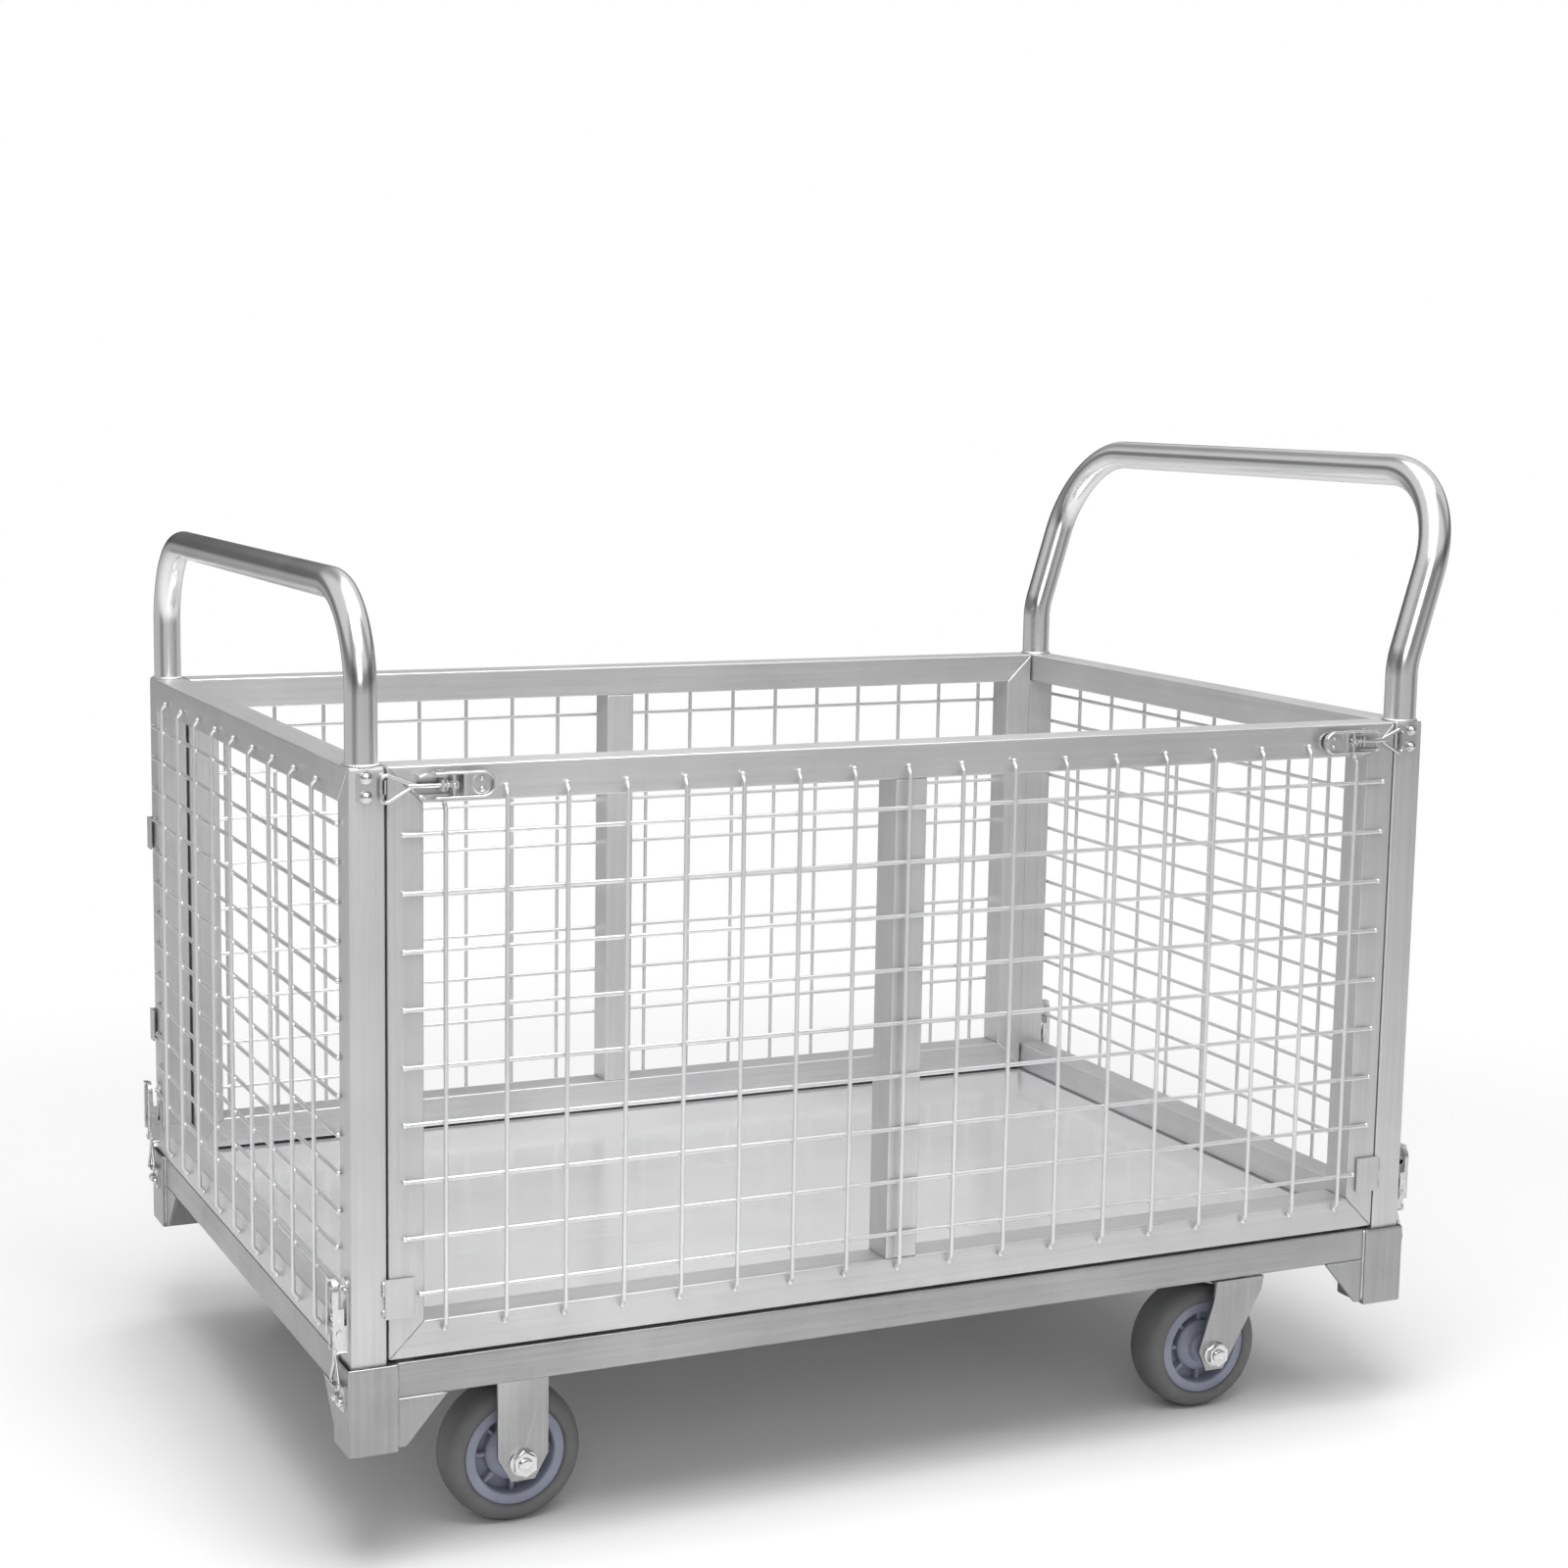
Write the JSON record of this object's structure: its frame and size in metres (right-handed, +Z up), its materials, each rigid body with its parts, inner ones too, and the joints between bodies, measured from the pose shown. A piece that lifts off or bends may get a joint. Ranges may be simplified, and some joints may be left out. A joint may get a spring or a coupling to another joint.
{
  "type": "mesh cage platform trolley",
  "caption": "Four-sided wire mesh platform trolley with a low and a tall tube push handle, latched lift-out panels and fixed and swivel casters.",
  "frame": {"origin": "on the floor under the middle of the bounding box", "axes": "+X along the deck towards the tall handle and swivel casters, +Y towards the back panel, +Z up"},
  "size_m": [1.1719, 0.782, 0.9689],
  "materials": {
    "frame_steel": "satin brushed",
    "deck_steel": "brushed sheet",
    "mesh_wire": "bright satin",
    "handle_chrome": "polished",
    "latch_steel": "satin",
    "caster_steel": "satin pressed",
    "fastener": "polished",
    "tyre_tread": "matte grey",
    "wheel_core": "semi-matte blue-grey"
  },
  "bodies": {
    "cart": {"deck_sheet": "deck_steel", "base_side_beams": "frame_steel", "base_end_beams": "frame_steel", "base_crossbars": "frame_steel", "corner_legs": "frame_steel", "leg_gussets": "frame_steel", "left_end_posts": "frame_steel", "left_end_rails": "frame_steel", "left_end_mesh": "mesh_wire", "right_end_posts": "frame_steel", "right_end_rails": "frame_steel", "right_end_mesh": "mesh_wire", "low_handle": "handle_chrome", "tall_handle": "handle_chrome", "panel_clips": "frame_steel", "top_latch_keepers": "latch_steel", "base_latch_keepers": "latch_steel", "end_latch_plates": "latch_steel", "caster_mount_plates": "frame_steel", "rigid_caster_forks": "caster_steel", "rigid_axles": "fastener", "swivel_caster_plates": "caster_steel", "caster_bolts": "fastener"},
    "front_panel": {"front_panel_uprights": "frame_steel", "front_panel_rails": "frame_steel", "front_panel_mesh": "mesh_wire", "front_latch_plates": "latch_steel"},
    "back_panel": {"back_panel_uprights": "frame_steel", "back_panel_rails": "frame_steel", "back_panel_mesh": "mesh_wire", "back_latch_plates": "latch_steel", "back_panel_hooks": "frame_steel"},
    "front_left_lever": {"front_left_lever": "latch_steel"},
    "front_left_bail": {"front_left_bail": "latch_steel"},
    "front_right_lever": {"front_right_lever": "latch_steel"},
    "front_right_bail": {"front_right_bail": "latch_steel"},
    "back_left_lever": {"back_left_lever": "latch_steel"},
    "back_left_bail": {"back_left_bail": "latch_steel"},
    "back_right_lever": {"back_right_lever": "latch_steel"},
    "back_right_bail": {"back_right_bail": "latch_steel"},
    "left_end_front_lever": {"left_end_front_lever": "latch_steel"},
    "left_end_front_bail": {"left_end_front_bail": "latch_steel"},
    "left_end_back_lever": {"left_end_back_lever": "latch_steel"},
    "left_end_back_bail": {"left_end_back_bail": "latch_steel"},
    "right_end_front_lever": {"right_end_front_lever": "latch_steel"},
    "right_end_front_bail": {"right_end_front_bail": "latch_steel"},
    "right_end_back_lever": {"right_end_back_lever": "latch_steel"},
    "right_end_back_bail": {"right_end_back_bail": "latch_steel"},
    "front_swivel": {"front_swivel_fork": "caster_steel", "front_swivel_axle": "fastener"},
    "front_left_wheel": {"front_left_core": "wheel_core", "front_left_tyre": "tyre_tread"},
    "front_right_wheel": {"front_right_core": "wheel_core", "front_right_tyre": "tyre_tread"},
    "back_swivel": {"back_swivel_fork": "caster_steel", "back_swivel_axle": "fastener"},
    "back_left_wheel": {"back_left_core": "wheel_core", "back_left_tyre": "tyre_tread"},
    "back_right_wheel": {"back_right_core": "wheel_core", "back_right_tyre": "tyre_tread"}
  },
  "joints": [
    {"name": "front_panel_tilt", "type": "hinge", "parent": "cart", "child": "front_panel", "pos_m": [-0.01995, -0.376, 0.266], "axis": [1, 0, 0], "range_deg": [0, 22]},
    {"name": "back_panel_tilt", "type": "hinge", "parent": "cart", "child": "back_panel", "pos_m": [-0.01995, 0.376, 0.266], "axis": [-1, 0, 0], "range_deg": [0, 22]},
    {"name": "front_left_lever_turn", "type": "hinge", "parent": "front_panel", "child": "front_left_lever", "pos_m": [-0.49295, -0.383, 0.692], "axis": [0, 0, -1], "range_deg": [0, 110]},
    {"name": "front_left_bail_turn", "type": "hinge", "parent": "front_left_lever", "child": "front_left_bail", "pos_m": [-0.48095, -0.384, 0.692], "axis": [0, 0, -1], "range_deg": [-130, 0]},
    {"name": "front_right_lever_turn", "type": "hinge", "parent": "front_panel", "child": "front_right_lever", "pos_m": [0.45305, -0.383, 0.692], "axis": [0, 0, 1], "range_deg": [0, 110]},
    {"name": "front_right_bail_turn", "type": "hinge", "parent": "front_right_lever", "child": "front_right_bail", "pos_m": [0.44105, -0.384, 0.692], "axis": [0, 0, 1], "range_deg": [-130, 0]},
    {"name": "back_left_lever_turn", "type": "hinge", "parent": "back_panel", "child": "back_left_lever", "pos_m": [-0.49295, 0.383, 0.692], "axis": [0, 0, 1], "range_deg": [0, 110]},
    {"name": "back_left_bail_turn", "type": "hinge", "parent": "back_left_lever", "child": "back_left_bail", "pos_m": [-0.48095, 0.384, 0.692], "axis": [0, 0, 1], "range_deg": [-130, 0]},
    {"name": "back_right_lever_turn", "type": "hinge", "parent": "back_panel", "child": "back_right_lever", "pos_m": [0.45305, 0.383, 0.692], "axis": [0, 0, -1], "range_deg": [0, 110]},
    {"name": "back_right_bail_turn", "type": "hinge", "parent": "back_right_lever", "child": "back_right_bail", "pos_m": [0.44105, 0.384, 0.692], "axis": [0, 0, -1], "range_deg": [-130, 0]},
    {"name": "left_end_front_lever_turn", "type": "hinge", "parent": "cart", "child": "left_end_front_lever", "pos_m": [-0.57795, -0.359, 0.221], "axis": [0, -1, 0], "range_deg": [0, 110]},
    {"name": "left_end_front_bail_turn", "type": "hinge", "parent": "left_end_front_lever", "child": "left_end_front_bail", "pos_m": [-0.57895, -0.359, 0.233], "axis": [0, -1, 0], "range_deg": [-130, 0]},
    {"name": "left_end_back_lever_turn", "type": "hinge", "parent": "cart", "child": "left_end_back_lever", "pos_m": [-0.57795, 0.359, 0.221], "axis": [0, -1, 0], "range_deg": [0, 110]},
    {"name": "left_end_back_bail_turn", "type": "hinge", "parent": "left_end_back_lever", "child": "left_end_back_bail", "pos_m": [-0.57895, 0.359, 0.233], "axis": [0, -1, 0], "range_deg": [-130, 0]},
    {"name": "right_end_front_lever_turn", "type": "hinge", "parent": "cart", "child": "right_end_front_lever", "pos_m": [0.53805, -0.359, 0.221], "axis": [0, 1, 0], "range_deg": [0, 110]},
    {"name": "right_end_front_bail_turn", "type": "hinge", "parent": "right_end_front_lever", "child": "right_end_front_bail", "pos_m": [0.53905, -0.359, 0.233], "axis": [0, 1, 0], "range_deg": [-130, 0]},
    {"name": "right_end_back_lever_turn", "type": "hinge", "parent": "cart", "child": "right_end_back_lever", "pos_m": [0.53805, 0.359, 0.221], "axis": [0, 1, 0], "range_deg": [0, 110]},
    {"name": "right_end_back_bail_turn", "type": "hinge", "parent": "right_end_back_lever", "child": "right_end_back_bail", "pos_m": [0.53905, 0.359, 0.233], "axis": [0, 1, 0], "range_deg": [-130, 0]},
    {"name": "front_caster_swivel", "type": "hinge", "parent": "cart", "child": "front_swivel", "pos_m": [0.37005, -0.291, 0.065], "axis": [0, 0, 1], "continuous": true},
    {"name": "front_left_wheel_spin", "type": "hinge", "parent": "cart", "child": "front_left_wheel", "pos_m": [-0.39895, -0.291, 0.065], "axis": [0, 1, 0], "continuous": true},
    {"name": "front_right_wheel_spin", "type": "hinge", "parent": "front_swivel", "child": "front_right_wheel", "pos_m": [0.34205, -0.291, 0.065], "axis": [0, 1, 0], "continuous": true},
    {"name": "back_caster_swivel", "type": "hinge", "parent": "cart", "child": "back_swivel", "pos_m": [0.37005, 0.291, 0.065], "axis": [0, 0, 1], "continuous": true},
    {"name": "back_left_wheel_spin", "type": "hinge", "parent": "cart", "child": "back_left_wheel", "pos_m": [-0.39895, 0.291, 0.065], "axis": [0, 1, 0], "continuous": true},
    {"name": "back_right_wheel_spin", "type": "hinge", "parent": "back_swivel", "child": "back_right_wheel", "pos_m": [0.34205, 0.291, 0.065], "axis": [0, 1, 0], "continuous": true}
  ],
  "couplings": [
    {"joint": "front_left_bail_turn", "follows": "front_left_lever_turn", "ratio": -1.15},
    {"joint": "front_right_bail_turn", "follows": "front_right_lever_turn", "ratio": -1.15},
    {"joint": "back_left_bail_turn", "follows": "back_left_lever_turn", "ratio": -1.15},
    {"joint": "back_right_bail_turn", "follows": "back_right_lever_turn", "ratio": -1.15},
    {"joint": "left_end_front_bail_turn", "follows": "left_end_front_lever_turn", "ratio": -1.15},
    {"joint": "left_end_back_bail_turn", "follows": "left_end_back_lever_turn", "ratio": -1.15},
    {"joint": "right_end_front_bail_turn", "follows": "right_end_front_lever_turn", "ratio": -1.15},
    {"joint": "right_end_back_bail_turn", "follows": "right_end_back_lever_turn", "ratio": -1.15}
  ]
}
